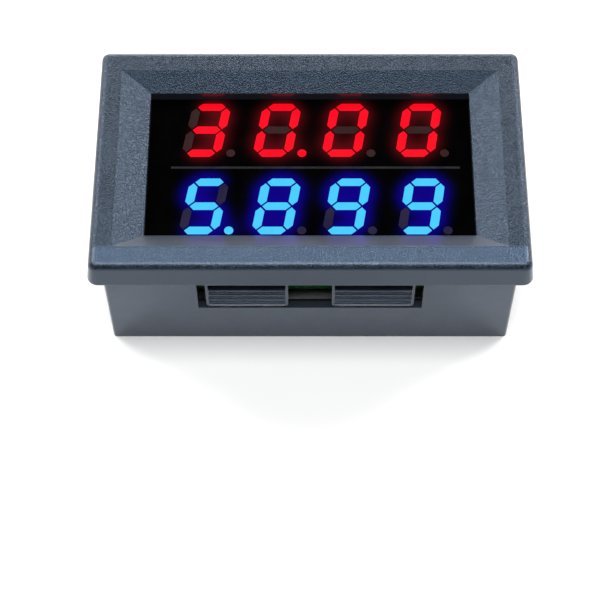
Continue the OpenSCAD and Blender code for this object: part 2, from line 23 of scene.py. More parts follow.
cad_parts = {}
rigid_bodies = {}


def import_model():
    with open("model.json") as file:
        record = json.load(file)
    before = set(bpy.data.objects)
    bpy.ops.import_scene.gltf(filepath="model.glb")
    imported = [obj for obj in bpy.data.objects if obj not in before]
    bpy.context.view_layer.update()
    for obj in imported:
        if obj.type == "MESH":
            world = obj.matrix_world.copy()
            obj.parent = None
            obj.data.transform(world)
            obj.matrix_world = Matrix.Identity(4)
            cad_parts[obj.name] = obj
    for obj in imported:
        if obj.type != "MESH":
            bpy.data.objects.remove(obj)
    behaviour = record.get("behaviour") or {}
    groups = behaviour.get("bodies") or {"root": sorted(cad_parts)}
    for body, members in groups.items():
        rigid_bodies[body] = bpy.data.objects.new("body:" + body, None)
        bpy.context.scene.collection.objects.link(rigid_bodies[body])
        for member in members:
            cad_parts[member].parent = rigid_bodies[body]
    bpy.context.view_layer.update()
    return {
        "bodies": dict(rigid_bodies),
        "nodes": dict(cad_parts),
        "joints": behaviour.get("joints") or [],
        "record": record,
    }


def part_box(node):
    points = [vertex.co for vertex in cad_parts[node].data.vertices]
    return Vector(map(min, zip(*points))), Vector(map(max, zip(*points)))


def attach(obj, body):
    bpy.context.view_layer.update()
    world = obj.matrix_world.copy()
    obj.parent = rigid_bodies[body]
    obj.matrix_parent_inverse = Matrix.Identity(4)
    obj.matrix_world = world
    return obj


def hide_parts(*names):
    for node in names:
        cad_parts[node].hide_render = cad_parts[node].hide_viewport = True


MM = 0.001
BODY = "meter"
SUNK = 0.3  # how deep copper sits in the board, as a share of its thickness

Feed = object  # a number, a colour or a socket that feeds an input
Colour = tuple[float, float, float]
log = logging.getLogger("panel_meter")


# ---------------------------------------------------------------- node trees


class Wiring:
    """A node tree with short calls that add nodes and join them."""

    def __init__(self, tree: bpy.types.NodeTree) -> None:
        """Keeps the tree, which may be a material's, the world's or a group's."""
        self.tree = tree

    def node(
        self, kind: str, feeds: dict[str | int, Feed] | None = None, **settings: Feed
    ) -> bpy.types.Node:
        """Adds a node.

        Args:
            kind: the node's type without its "ShaderNode" prefix.
            feeds: what goes into its inputs, by input name or place.
            settings: the node's own properties.

        Returns:
            The new node.
        """
        made = self.tree.nodes.new("ShaderNode" + kind)
        for name, value in settings.items():
            setattr(made, name, value)
        for name, feed in (feeds or {}).items():
            self.feed(made.inputs[name], feed)
        return made

    def feed(self, socket: bpy.types.NodeSocket, feed: Feed) -> None:
        """Links a socket, or sets the input's own value."""
        if isinstance(feed, bpy.types.NodeSocket):
            self.tree.links.new(feed, socket)
        elif socket.type == "RGBA":
            socket.default_value = (*feed, 1.0) if len(feed) == 3 else feed
        else:
            socket.default_value = feed

    def maths(self, operation: str, *feeds: Feed, clamp: bool = False) -> bpy.types.NodeSocket:
        """Adds one Math node and returns its result."""
        made = self.node("Math", dict(enumerate(feeds)), operation=operation, use_clamp=clamp)
        return made.outputs[0]

    def spread(
        self, value: Feed, low: float, high: float, start: Feed = 0.0, end: Feed = 1.0
    ) -> bpy.types.NodeSocket:
        """Maps a value from low..high to start..end, with smooth ends.

        Args:
            value: what is mapped.
            low: the value that gives start.
            high: the value that gives end.
            start: the result at low and below.
            end: the result at high and above.

        Returns:
            The mapped value.
        """
        feeds = {"Value": value, "From Min": low, "From Max": high, "To Min": start, "To Max": end}
        return self.node("MapRange", feeds, interpolation_type="SMOOTHSTEP").outputs["Result"]

    def mix(
        self, factor: Feed, first: Feed, second: Feed, way: str = "MIX"
    ) -> bpy.types.NodeSocket:
        """Mixes two colours.

        Args:
            factor: the second colour's share.
            first: the first colour.
            second: the second colour.
            way: how they are mixed.

        Returns:
            The mixed colour.
        """
        made = self.node("Mix", data_type="RGBA", blend_type=way, clamp_factor=True)
        self.feed(made.inputs["Factor"], factor)
        self.feed(made.inputs[6], first)
        self.feed(made.inputs[7], second)
        return made.outputs[2]

    def noise(self, vector: Feed, size: float) -> bpy.types.NodeSocket:
        """Adds a noise whose blots are about size across and returns its value."""
        feeds = {"Vector": vector, "Scale": 1.0 / size, "Detail": 3.0, "Roughness": 0.55}
        return self.node("TexNoise", feeds).outputs["Fac"]

    def place(self) -> bpy.types.NodeSocket:
        """The surface point in the object's own coordinates."""
        return self.node("TexCoord").outputs["Object"]

    def axes(self, vector: Feed) -> tuple[bpy.types.NodeSocket, ...]:
        """The X, Y and Z parts of a vector."""
        return tuple(self.node("SeparateXYZ", {0: vector}).outputs)


class Effects:
    """Shader groups that several finishes share, each built once.

    leather: cells of a fine moulded grain. In: Vector, Size, Softness. Out: Height.
    mottle: slow drift of a finish. In: Vector, Size. Out: Tone.
    rounded: softened edges. In: Radius. Out: Normal, Wear.
    """

    def __init__(self) -> None:
        """Builds the three groups."""
        self.leather = self._leather()
        self.mottle = self._mottle()
        self.rounded = self._rounded()

    @staticmethod
    def _start(
        name: str, inputs: dict[str, float | None], outputs: dict[str, str]
    ) -> tuple[Wiring, dict, bpy.types.Node]:
        """Makes an empty group.

        Args:
            name: the group's name.
            inputs: each input's name and default value, or None for a vector.
            outputs: each output's name and socket type.

        Returns:
            Its wiring, its input sockets by name, and the node that takes its results.
        """
        tree = bpy.data.node_groups.new(name, "ShaderNodeTree")
        for label, value in inputs.items():
            kind = "NodeSocketVector" if value is None else "NodeSocketFloat"
            socket = tree.interface.new_socket(label, in_out="INPUT", socket_type=kind)
            if value is not None:
                socket.default_value = value
        for label, kind in outputs.items():
            tree.interface.new_socket(label, in_out="OUTPUT", socket_type=kind)
        entry = tree.nodes.new("NodeGroupInput")
        leave = tree.nodes.new("NodeGroupOutput")
        return Wiring(tree), {label: entry.outputs[label] for label in inputs}, leave

    def _leather(self) -> bpy.types.NodeTree:
        """Warped rounded cells with finer noise on them: moulded grain."""
        w, given, leave = self._start(
            "moulded_grain",
            {"Vector": None, "Size": 0.2 * MM, "Softness": 0.6},
            {"Height": "NodeSocketFloat"},
        )
        scale = w.maths("DIVIDE", 1.0, given["Size"])
        drift = w.node("TexNoise", {"Vector": given["Vector"], "Scale": scale, "Detail": 2.0})
        shift = {0: drift.outputs["Color"], 1: (0.5, 0.5, 0.5)}
        nudge = w.node("VectorMath", shift, operation="SUBTRACT")
        sized = {0: nudge.outputs[0], "Scale": given["Size"]}
        reach = w.node("VectorMath", sized, operation="SCALE")
        warped = w.node("VectorMath", {0: given["Vector"], 1: reach.outputs[0]}, operation="ADD")
        cells = w.node(
            "TexVoronoi",
            {"Vector": warped.outputs[0], "Scale": scale, "Smoothness": given["Softness"]},
            feature="SMOOTH_F1",
        )
        fine = w.node(
            "TexNoise",
            {"Vector": given["Vector"], "Scale": w.maths("MULTIPLY", scale, 2.3), "Detail": 3.0},
        )
        pebble = w.spread(cells.outputs["Distance"], 0.05, 0.75, 1.0, 0.0)
        coarse = w.maths("MULTIPLY", pebble, 0.55)
        height = w.maths("MULTIPLY_ADD", fine.outputs["Fac"], 0.45, coarse)
        w.feed(leave.inputs["Height"], height)
        return w.tree

    def _mottle(self) -> bpy.types.NodeTree:
        """Two noises of different size, mixed: slow drift with some grain in it."""
        w, given, leave = self._start(
            "tone_drift", {"Vector": None, "Size": 5.0 * MM}, {"Tone": "NodeSocketFloat"}
        )
        scale = w.maths("DIVIDE", 1.0, given["Size"])
        slow = w.node("TexNoise", {"Vector": given["Vector"], "Scale": scale, "Detail": 2.0})
        finer = w.maths("MULTIPLY", scale, 9.0)
        quick = w.node("TexNoise", {"Vector": given["Vector"], "Scale": finer, "Detail": 4.0})
        base = w.maths("MULTIPLY", slow.outputs["Fac"], 0.65)
        tone = w.maths("MULTIPLY_ADD", quick.outputs["Fac"], 0.35, base)
        w.feed(leave.inputs["Tone"], w.spread(tone, 0.34, 0.66))
        return w.tree

    def _rounded(self) -> bpy.types.NodeTree:
        """Normals turned round sharp edges, and a mask of how far they turned: the wear there."""
        w, given, leave = self._start(
            "soft_edges",
            {"Radius": 0.15 * MM},
            {"Normal": "NodeSocketVector", "Wear": "NodeSocketFloat"},
        )
        soft = w.node("Bevel", {"Radius": given["Radius"]}, samples=8).outputs["Normal"]
        true = w.node("NewGeometry").outputs["Normal"]
        turned = w.node("VectorMath", {0: soft, 1: true}, operation="DOT_PRODUCT").outputs["Value"]
        w.feed(leave.inputs["Normal"], soft)
        w.feed(leave.inputs["Wear"], w.spread(turned, 0.995, 0.86))
        return w.tree


# ---------------------------------------------------------------- finishes


@dataclass(frozen=True)
class Finish:
    """A plain dielectric finish: two close colours, fine grain, worn edges.

    Sizes are in metres. Subclasses change the parts that make them special.
    """

    name: str
    colour: Colour
    second: Colour
    worn: Colour
    rough: tuple[float, float] = (0.4, 0.55)
    drift: float = 3.0 * MM
    grain: float = 0.12 * MM
    depth: float = 0.004 * MM
    edge: float = 0.08 * MM
    wear: float = 0.35
    metallic: float = 0.0
    specular: float = 0.5
    tint: Colour = (1.0, 1.0, 1.0)
    coat: float = 0.0
    coat_rough: float = 0.1

    def build(self, effects: Effects) -> bpy.types.Material:
        """Makes the material.

        Args:
            effects: the shared shader groups.

        Returns:
            The finished material.
        """
        material = bpy.data.materials.new(self.name)
        material.use_nodes = True
        material.node_tree.nodes.clear()
        w = Wiring(material.node_tree)
        shader = w.node(
            "BsdfPrincipled",
            {
                "Metallic": self.metallic,
                "Specular IOR Level": self.specular,
                "Specular Tint": self.tint,
                "Coat Weight": self.coat,
                "Coat Roughness": self.coat_rough,
            },
        )
        out = w.node("OutputMaterial")
        w.feed(out.inputs["Surface"], shader.outputs["BSDF"])
        self.dress(w, effects, shader)
        material.diffuse_color = (*self.colour, 1.0)
        return material

    def group(self, w: Wiring, tree: bpy.types.NodeTree, **feeds: Feed) -> bpy.types.Node:
        """Places a shared group in the material.

        Args:
            w: the material's wiring.
            tree: the group.
            feeds: what goes into its inputs, by name.

        Returns:
            The placed group.
        """
        made = w.node("Group", node_tree=tree)
        for name, feed in feeds.items():
            w.feed(made.inputs[name], feed)
        return made

    def dress(self, w: Wiring, effects: Effects, shader: bpy.types.Node) -> None:
        """Feeds colour, roughness and normal.

        Args:
            w: the material's wiring.
            effects: the shared shader groups.
            shader: the Principled node that is fed.
        """
        place = w.place()
        tone = self.group(w, effects.mottle, Vector=place, Size=self.drift).outputs["Tone"]
        grain = self.group(w, effects.leather, Vector=place, Size=self.grain).outputs["Height"]
        rounded = self.group(w, effects.rounded, Radius=self.edge)
        wear = w.maths("MULTIPLY", rounded.outputs["Wear"], self.wear)
        w.feed(shader.inputs["Base Color"], w.mix(wear, self.body(w, tone), self.worn))
        rough = w.spread(tone, 0.0, 1.0, *self.rough)
        w.feed(shader.inputs["Roughness"], rough)
        bump = w.node(
            "Bump",
            {
                "Strength": 1.0,
                "Distance": self.depth,
                "Height": grain,
                "Normal": rounded.outputs["Normal"],
            },
        )
        w.feed(shader.inputs["Normal"], bump.outputs["Normal"])

    def body(self, w: Wiring, tone: Feed) -> bpy.types.NodeSocket:
        """The colour away from the edges, between the finish's two colours."""
        return w.mix(tone, self.colour, self.second)


@dataclass(frozen=True)
class BoardLacquer(Finish):
    """Green solder resist, lighter over the copper tracks that stand out of the rear face."""

    over_copper: Colour = (0.022, 0.20, 0.055)
    painted_edge_shade: Colour = (0.004, 0.045, 0.010)
    rear_z: float = 7.7 * MM

    def body(self, w: Wiring, tone: Feed) -> bpy.types.NodeSocket:
        """The lacquer's colour, lighter over the tracks and darker at the board's cut edges, where
        shade is painted.

        Args:
            w: the material's wiring.
            tone: the slow drift between the two colours.

        Returns:
            The colour.
        """
        z = w.axes(w.place())[2]
        proud = w.spread(z, self.rear_z - 0.005 * MM, self.rear_z - 0.02 * MM)
        lacquer = w.mix(proud, super().body(w, tone), self.over_copper)
        # painted shade: the board's cut edges get a darker colour
        upright = w.maths("ABSOLUTE", w.axes(w.node("NewGeometry").outputs["Normal"])[2])
        return w.mix(w.spread(upright, 0.6, 0.4), lacquer, self.painted_edge_shade)


@dataclass(frozen=True)
class CasePlastic(Finish):
    """Black moulded plastic: leather grain on the bezel's front, satin walls with mould lines.

    The front's lower band has a painted sheen: a lighter base colour, and a thin coat makes it
    glossier. The slope that leads down from it to the display is smooth. The zones follow the
    case's own sizes, so the finish is built for one case.
    """

    satin: Colour = (0.042, 0.050, 0.066)
    satin_spread: float = 1.12
    # the bezel's side face is darker than the walls: painted shade
    painted_flange_shade: Colour = (0.026, 0.032, 0.043)
    foot_rough: float = 0.17
    # painted sheen on the front's lower band: its lighter colour and share, where the band starts
    # and fades, and its glossy coat
    sheen_band_coat: float = 0.35
    painted_sheen_tone: Colour = (0.029, 0.049, 0.083)
    # lighter colour on the walls' edges: painted highlight
    rim: Colour = (0.10, 0.11, 0.13)
    sheen_band_y: float = -11.5 * MM
    sheen_band_fade: float = 0.6 * MM
    painted_sheen_share: float = 0.9
    grain_side: float = 0.16 * MM
    grain_depth: float = 0.05 * MM
    pit_rough: float = 0.10
    satin_depth: float = 0.0015 * MM
    line_width: float = 0.05 * MM
    line_depth: float = 0.02 * MM
    flange_z: float = 14.8 * MM
    flange_step: float = 0.02 * MM
    inner_half: tuple[float, float] = (21.7 * MM, 12.15 * MM)
    line_x: float = 12.6 * MM
    line_top: float = 6.8 * MM
    wall_y: float = 13.2 * MM

    def dress(self, w: Wiring, effects: Effects, shader: bpy.types.Node) -> None:
        """Feeds colour, roughness, coat and normal, each by zone of the case.

        Args:
            w: the material's wiring.
            effects: the shared shader groups.
            shader: the Principled node that is fed.
        """
        place = w.place()
        x, y, z = w.axes(place)
        _, face_y, face_z = w.axes(w.node("NewGeometry").outputs["Normal"])
        tone = self.group(w, effects.mottle, Vector=place, Size=self.drift).outputs["Tone"]
        rounded = self.group(w, effects.rounded, Radius=self.edge)

        above = w.spread(z, self.flange_z, self.flange_z + MM)
        front = w.maths("MULTIPLY", w.spread(face_z, 0.25, 0.6), above)
        foot_slope = w.maths("MULTIPLY", front, w.spread(face_y, 0.3, 0.5))
        grained = w.maths("SUBTRACT", front, foot_slope)
        coarse = self.group(w, effects.leather, Vector=place, Size=self.grain_side, Softness=0.5)
        deep = w.maths("MULTIPLY", grained, self.grain_depth)
        relief = w.maths("MULTIPLY", deep, coarse.outputs["Height"])
        height = w.maths("MULTIPLY_ADD", w.noise(place, self.grain), self.satin_depth, relief)
        lines = w.maths("MULTIPLY", self.mould_lines(w, x, y, z), self.line_depth)
        height = w.maths("SUBTRACT", height, lines)

        wear = w.maths("MULTIPLY", rounded.outputs["Wear"], self.wear)
        textured = w.mix(tone, self.colour, self.second)
        walls = w.mix(tone, self.satin, tuple(self.satin_spread * part for part in self.satin))
        # painted shade: the walls' inner sides take the bezel's darker colour
        walls = w.mix(self.shaded_inner_side(w, x, y), walls, self.colour)
        on_flange = w.spread(z, self.flange_z - self.flange_step, self.flange_z)
        # painted shade: the bezel's side face gets a darker colour than the walls
        walls = w.mix(on_flange, walls, self.painted_flange_shade)
        # painted sheen: the front's lower band gets a lighter colour, and the coat below makes it
        # glossier
        foot = w.spread(y, self.sheen_band_y, self.sheen_band_y - self.sheen_band_fade)
        lower = w.maths("MULTIPLY", w.spread(face_z, 0.85, 0.97), foot)
        textured = w.mix(w.maths("MULTIPLY", lower, self.painted_sheen_share), textured, self.painted_sheen_tone)
        body = w.mix(front, walls, textured)
        # edges: a painted highlight on the walls below the bezel, wear on the bezel itself
        rim = w.mix(on_flange, self.rim, self.worn)
        w.feed(shader.inputs["Base Color"], w.mix(wear, body, rim))
        coated = w.maths("MULTIPLY", grained, lower)
        w.feed(shader.inputs["Coat Weight"], w.maths("MULTIPLY", coated, self.sheen_band_coat))
        plain = w.spread(tone, 0.0, 1.0, *self.rough)
        rough = w.maths("MULTIPLY_ADD", foot_slope, self.foot_rough, plain)
        pits = w.maths("MULTIPLY", grained, w.spread(coarse.outputs["Height"], 0.62, 0.38))
        w.feed(shader.inputs["Roughness"], w.maths("MULTIPLY_ADD", pits, self.pit_rough, rough))
        bump = w.node(
            "Bump",
            {
                "Strength": 1.0,
                "Distance": 1.0,
                "Height": height,
                "Normal": rounded.outputs["Normal"],
            },
        )
        w.feed(shader.inputs["Normal"], bump.outputs["Normal"])

    def shaded_inner_side(self, w: Wiring, x: Feed, y: Feed) -> bpy.types.NodeSocket:
        """A mask of the walls' inner sides, which get the darker bezel colour: painted shade
        inside the case.
        """
        spans = [
            w.spread(w.maths("ABSOLUTE", place), half + 0.2 * MM, half)
            for place, half in zip((x, y), self.inner_half)
        ]
        return w.maths("MULTIPLY", *spans)

    def mould_lines(self, w: Wiring, x: Feed, y: Feed, z: Feed) -> bpy.types.NodeSocket:
        """Fine lines on the long walls, from the windows' rear corners to the rim.

        Args:
            w: the material's wiring.
            x: the surface point's X.
            y: the surface point's Y.
            z: the surface point's Z.

        Returns:
            A mask of the lines.
        """
        off = w.maths("ABSOLUTE", w.maths("SUBTRACT", w.maths("ABSOLUTE", x), self.line_x))
        near = w.spread(off, self.line_width, 0.0)
        low = w.spread(z, self.line_top + 0.05 * MM, self.line_top)
        outer = w.spread(w.maths("ABSOLUTE", y), self.wall_y - 0.15 * MM, self.wall_y - 0.05 * MM)
        return w.maths("MULTIPLY", w.maths("MULTIPLY", near, low), outer)


@dataclass(frozen=True)
class GlowingLens(Finish):
    """Diffusing resin over a lit die: one strong colour, slightly uneven.

    light is what the camera takes in and cast is what falls on the surroundings. That is stronger
    and purer, since a picture of a glowing lens is cut off at full brightness. On the unlit lenses
    light is a faint painted glow and cast stays dark.
    """

    light: Colour = (1.0, 1.0, 1.0)
    cast: Colour = (0.0, 0.0, 0.0)
    dimmest: float = 0.94

    def dress(self, w: Wiring, effects: Effects, shader: bpy.types.Node) -> None:
        """Feeds the glow as well as what the plain finish has.

        Args:
            w: the material's wiring.
            effects: the shared shader groups.
            shader: the Principled node that is fed.
        """
        super().dress(w, effects, shader)
        tone = self.group(w, effects.mottle, Vector=w.place(), Size=1.2 * MM).outputs["Tone"]
        seen = w.mix(tone, self.light, tuple(self.dimmest * part for part in self.light))
        direct = w.node("LightPath").outputs["Is Camera Ray"]
        w.feed(shader.inputs["Emission Color"], w.mix(direct, self.cast, seen))
        shader.inputs["Emission Strength"].default_value = 1.0


@dataclass(frozen=True)
class DisplayFace(Finish):
    """Black face of the display, with the glow that its mesh carries as two attributes."""

    red_glow: Colour = (0.16, 0.006, 0.009)
    blue_glow: Colour = (0.0046, 0.0, 0.258)

    def dress(self, w: Wiring, effects: Effects, shader: bpy.types.Node) -> None:
        """Feeds the glow as well as what the plain finish has.

        Args:
            w: the material's wiring.
            effects: the shared shader groups.
            shader: the Principled node that is fed.
        """
        super().dress(w, effects, shader)
        lights = []
        for name, colour in ((Glow.RED.value, self.red_glow), (Glow.BLUE.value, self.blue_glow)):
            share = w.node("Attribute", attribute_name=name).outputs["Fac"]
            held = w.maths("MULTIPLY", share, 1.0, clamp=True)
            lights.append(w.mix(held, (0.0, 0.0, 0.0), colour))
        w.feed(shader.inputs["Emission Color"], w.mix(1.0, lights[0], lights[1], way="ADD"))
        shader.inputs["Emission Strength"].default_value = 1.0


class Glow(Enum):
    """The face's attributes, by the colour of the light that they carry."""

    RED = "red_share"
    BLUE = "blue_share"


@dataclass(frozen=True)
class Halo:
    """How the light of lit lenses spreads over the face: its reach, gain and power."""

    reach: float
    gain: float
    power: float


class FinishShop:
    """Builds the finish of each material slot when it is first asked for."""

    def __init__(self) -> None:
        """Builds the shared groups and lists the finishes by slot."""
        self.effects = Effects()
        self.made: dict[str, bpy.types.Material] = {}
        self.stock: dict[str, Finish] = {finish.name: finish for finish in self.catalogue()}

    @staticmethod
    def catalogue() -> list[Finish]:
        """Every finish of the meter, named after its slot."""
        return [
            CasePlastic(
                "case_black",
                colour=(0.0085, 0.0110, 0.0162),
                second=(0.0120, 0.0155, 0.0222),
                worn=(0.025, 0.032, 0.044),
                rough=(0.13, 0.18),
                # the blue specular tint is the light's cool colour, painted into the case's
                # reflections
                tint=(0.50, 0.71, 1.0),
                coat_rough=0.3,
                edge=0.14 * MM,
                wear=0.7,
            ),
            DisplayFace(
                "display_black",
                colour=(0.0004, 0.0004, 0.0005),
                second=(0.0008, 0.0008, 0.0009),
                worn=(0.003, 0.003, 0.003),
                rough=(0.5, 0.62),
                specular=0.0,
                edge=0.03 * MM,
            ),
            GlowingLens(
                "lens_red_lit",
                colour=(0.25, 0.0, 0.005),
                second=(0.22, 0.0, 0.004),
                worn=(0.3, 0.0, 0.01),
                light=(0.80, 0.0, 0.006),
                cast=(1.7, 0.0, 0.014),
                edge=0.03 * MM,
                wear=0.2,
                specular=0.05,
            ),
            GlowingLens(
                "lens_blue_lit",
                colour=(0.0, 0.0, 0.02),
                second=(0.0, 0.0, 0.03),
                worn=(0.0, 0.01, 0.04),
                light=(0.068, 0.64, 0.99),
                cast=(0.45, 0.55, 5.5),
                edge=0.03 * MM,
                wear=0.2,
                specular=0.05,
            ),
            # unlit lens: its light is a faint painted glow that only the camera sees
            GlowingLens(
                "lens_red_dark",
                colour=(0.007, 0.0055, 0.0055),
                second=(0.009, 0.007, 0.007),
                worn=(0.012, 0.009, 0.009),
                light=(0.022, 0.001, 0.001),
                specular=0.05,
                edge=0.04 * MM,
            ),
            # unlit lens: its light is a faint painted glow that only the camera sees
            GlowingLens(
                "lens_blue_dark",
                colour=(0.006, 0.005, 0.0055),
                second=(0.008, 0.0065, 0.007),
                worn=(0.011, 0.009, 0.009),
                light=(0.003, 0.001, 0.035),
                specular=0.05,
                edge=0.04 * MM,
            ),
            Finish(
                "divider_grey",
                colour=(0.006, 0.006, 0.007),
                second=(0.009, 0.009, 0.010),
                worn=(0.012, 0.012, 0.012),
                specular=0.1,
                edge=0.02 * MM,
            ),
            Finish(
                "display_base_green",
                colour=(0.02, 0.10, 0.03),
                second=(0.03, 0.13, 0.045),
                worn=(0.25, 0.27, 0.16),
                rough=(0.35, 0.5),
            ),
            Finish(
                "led_die",
                colour=(0.55, 0.5, 0.2),
                second=(0.62, 0.58, 0.28),
                worn=(0.7, 0.7, 0.5),
                rough=(0.2, 0.35),
                edge=0.02 * MM,
            ),
            BoardLacquer(
                "board_green",
                colour=(0.004, 0.090, 0.014),
                second=(0.006, 0.120, 0.022),
                worn=(0.12, 0.15, 0.08),
                rough=(0.24, 0.36),
                drift=2.0 * MM,
                wear=0.25,
                specular=0.2,
            ),
            Finish(
                "tinned_metal",
                colour=(0.62, 0.62, 0.63),
                second=(0.72, 0.72, 0.72),
                worn=(0.85, 0.85, 0.84),
                rough=(0.24, 0.42),
                metallic=1.0,
                edge=0.03 * MM,
                depth=0.002 * MM,
                grain=0.05 * MM,
            ),
            Finish(
                "solder",
                colour=(0.60, 0.61, 0.63),
                second=(0.75, 0.75, 0.75),
                worn=(0.85, 0.85, 0.85),
                rough=(0.16, 0.36),
                metallic=1.0,
                drift=0.6 * MM,
                edge=0.06 * MM,
                depth=0.006 * MM,
                grain=0.12 * MM,
            ),
            Finish(
                "header_white",
                colour=(0.74, 0.73, 0.68),
                second=(0.80, 0.79, 0.75),
                worn=(0.88, 0.88, 0.86),
                rough=(0.32, 0.45),
                edge=0.08 * MM,
            ),
            Finish(
                "shunt_copper",
                colour=(0.50, 0.26, 0.15),
                second=(0.62, 0.34, 0.20),
                worn=(0.8, 0.5, 0.33),
                rough=(0.22, 0.4),
                metallic=1.0,
                drift=1.0 * MM,
            ),
            Finish(
                "chip_black",
                colour=(0.018, 0.018, 0.019),
                second=(0.028, 0.028, 0.029),
                worn=(0.07, 0.07, 0.07),
                rough=(0.45, 0.62),
                grain=0.06 * MM,
                depth=0.004 * MM,
                edge=0.05 * MM,
            ),
            Finish(
                "capacitor_tan",
                colour=(0.36, 0.23, 0.13),
                second=(0.44, 0.29, 0.17),
                worn=(0.5, 0.38, 0.26),
                rough=(0.3, 0.5),
                grain=0.05 * MM,
                edge=0.05 * MM,
            ),
            Finish(
                "resistor_black",
                colour=(0.012, 0.012, 0.014),
                second=(0.022, 0.022, 0.025),
                worn=(0.3, 0.3, 0.3),
                rough=(0.2, 0.3),
                edge=0.04 * MM,
            ),
            Finish(
                "trimmer_ceramic",
                colour=(0.70, 0.71, 0.72),
                second=(0.78, 0.79, 0.80),
                worn=(0.85, 0.85, 0.85),
                rough=(0.4, 0.55),
                grain=0.05 * MM,
                edge=0.06 * MM,
            ),
            Finish(
                "trimmer_metal",
                colour=(0.60, 0.56, 0.45),
                second=(0.68, 0.64, 0.52),
                worn=(0.85, 0.82, 0.74),
                rough=(0.2, 0.36),
                metallic=1.0,
                edge=0.05 * MM,
            ),
            Finish(
                "rivet_brass",
                colour=(0.62, 0.46, 0.18),
                second=(0.72, 0.55, 0.25),
                worn=(0.85, 0.72, 0.42),
                rough=(0.2, 0.34),
                metallic=1.0,
                edge=0.05 * MM,
            ),
        ]

    def finish(self, slot: str) -> bpy.types.Material:
        """The material of a slot."""
        if slot not in self.made:
            self.made[slot] = self.stock[slot].build(self.effects)
        return self.made[slot]

    def dress_node(self, node: bpy.types.Object) -> None:
        """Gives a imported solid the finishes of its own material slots."""
        for place in node.material_slots:
            place.material = self.finish(place.material.name.split(".")[0])


# ---------------------------------------------------------------- mesh helpers


def surface(name: str, points: np.ndarray) -> bpy.types.Object:
    """A sheet through a grid of points.

    Row i and column j of the grid are joined to i + 1 and j + 1 by one four-sided face.

    Args:
        name: the object's name.
        points: the grid, rows x columns x 3.

    Returns:
        The new object.
    """
    rows, columns = points.shape[:2]
    index = np.arange(rows * columns).reshape(rows, columns)
    quads = np.stack([index[:-1, :-1], index[:-1, 1:], index[1:, 1:], index[1:, :-1]], axis=-1)
    mesh = bpy.data.meshes.new(name)
    mesh.from_pydata(points.reshape(-1, 3).tolist(), [], quads.reshape(-1, 4).tolist())
    mesh.update()
    piece = bpy.data.objects.new(name, mesh)
    bpy.context.scene.collection.objects.link(piece)
    return piece


def join_solids(name: str, points: np.ndarray) -> bpy.types.Object:
    """Closed solids of the same build, each a stack of four-cornered rings.

    Corner k of ring j is joined to corner k + 1 and to ring j + 1 by one four-sided face,
    and the first and last rings are closed by one face each.

    Args:
        name: the object's name.
        points: solids x rings x 4 x 3, with the rings turned so that faces look outward.

    Returns:
        The new object.
    """
    solids, rings = points.shape[:2]
    index = np.arange(solids * rings * 4).reshape(solids, rings, 4)
    turned = np.roll(index, -1, axis=2)
    sides = np.stack([index[:, :-1], turned[:, :-1], turned[:, 1:], index[:, 1:]], axis=-1)
    ends = np.concatenate([index[:, 0, ::-1], index[:, -1]])
    faces = np.concatenate([sides.reshape(-1, 4), ends])
    mesh = bpy.data.meshes.new(name)
    mesh.from_pydata(points.reshape(-1, 3).tolist(), [], faces.tolist())
    mesh.update()
    piece = bpy.data.objects.new(name, mesh)
    bpy.context.scene.collection.objects.link(piece)
    return piece


def loft(
    name: str, middle: np.ndarray, half: np.ndarray, margin: np.ndarray, z: np.ndarray
) -> bpy.types.Object:
    """Solids whose level rectangles stand on each other, one solid for each middle.

    Level j is a rectangle at z[j] that reaches half + margin[j] to each side of the middle.

    Args:
        name: the object's name.
        middle: count x 2.
        half: count x 2.
        margin: one for each level.
        z: one for each level, falling.

    Returns:
        The new object.
    """
    signs = np.array([(-1, -1), (-1, 1), (1, 1), (1, -1)])
    reach = half[:, None, :] + margin[None, :, None]
    flat = middle[:, None, None, :] + signs * reach[:, :, None, :]
    level = np.broadcast_to(z[None, :, None, None], (*flat.shape[:3], 1))
    return join_solids(name, np.concatenate([flat, level], axis=-1))


def ribbons(
    name: str, paths: list[np.ndarray], widths: list[float], z: float, drop: float
) -> bpy.types.Object:
    """Flat strips that follow their paths at one height, with mitred corners.

    The sides stand off the path by half the width along the mean of the neighbouring legs'
    normals, made longer so that each leg keeps its width.

    Args:
        name: the object's name.
        paths: each count x 2.
        widths: the width of each strip.
        z: the height of the strips' upper side.
        drop: the strips' thickness, downwards.

    Returns:
        The new object.
    """
    longest = max(len(path) for path in paths)
    solids = []
    for path, width in zip(paths, widths):
        spare = longest - len(path)
        legs = np.diff(path, axis=0)
        legs /= np.linalg.norm(legs, axis=1, keepdims=True)
        normals = np.stack([-legs[:, 1], legs[:, 0]], axis=-1)
        joint = np.concatenate([normals[:1], normals[:-1] + normals[1:], normals[-1:]])
        joint /= np.linalg.norm(joint, axis=1, keepdims=True)
        nearest = np.concatenate([normals[:1], normals])
        aside = joint * (width / 2 / (joint * nearest).sum(axis=1, keepdims=True))
        rings = np.stack([path + aside, path - aside, path - aside, path + aside], axis=1)
        levels = z - drop * np.array([-SUNK, -SUNK, 1.0, 1.0])
        heights = np.broadcast_to(levels[:, None], (len(path), 4, 1))
        rings = np.concatenate([rings, heights], axis=-1)
        if spare:
            extra = np.linspace(rings[-2], rings[-1], spare + 2)[1:-1]
            rings = np.concatenate([rings[:-1], extra, rings[-1:]])
        solids.append(rings)
    return join_solids(name, np.stack(solids))


def vertex_places(mesh: bpy.types.Mesh) -> np.ndarray:
    """All vertices of a mesh.

    Args:
        mesh: the mesh that is read.

    Returns:
        Its points, count x 3.
    """
    flat = np.empty(len(mesh.vertices) * 3)
    mesh.vertices.foreach_get("co", flat)
    return flat.reshape(-1, 3)


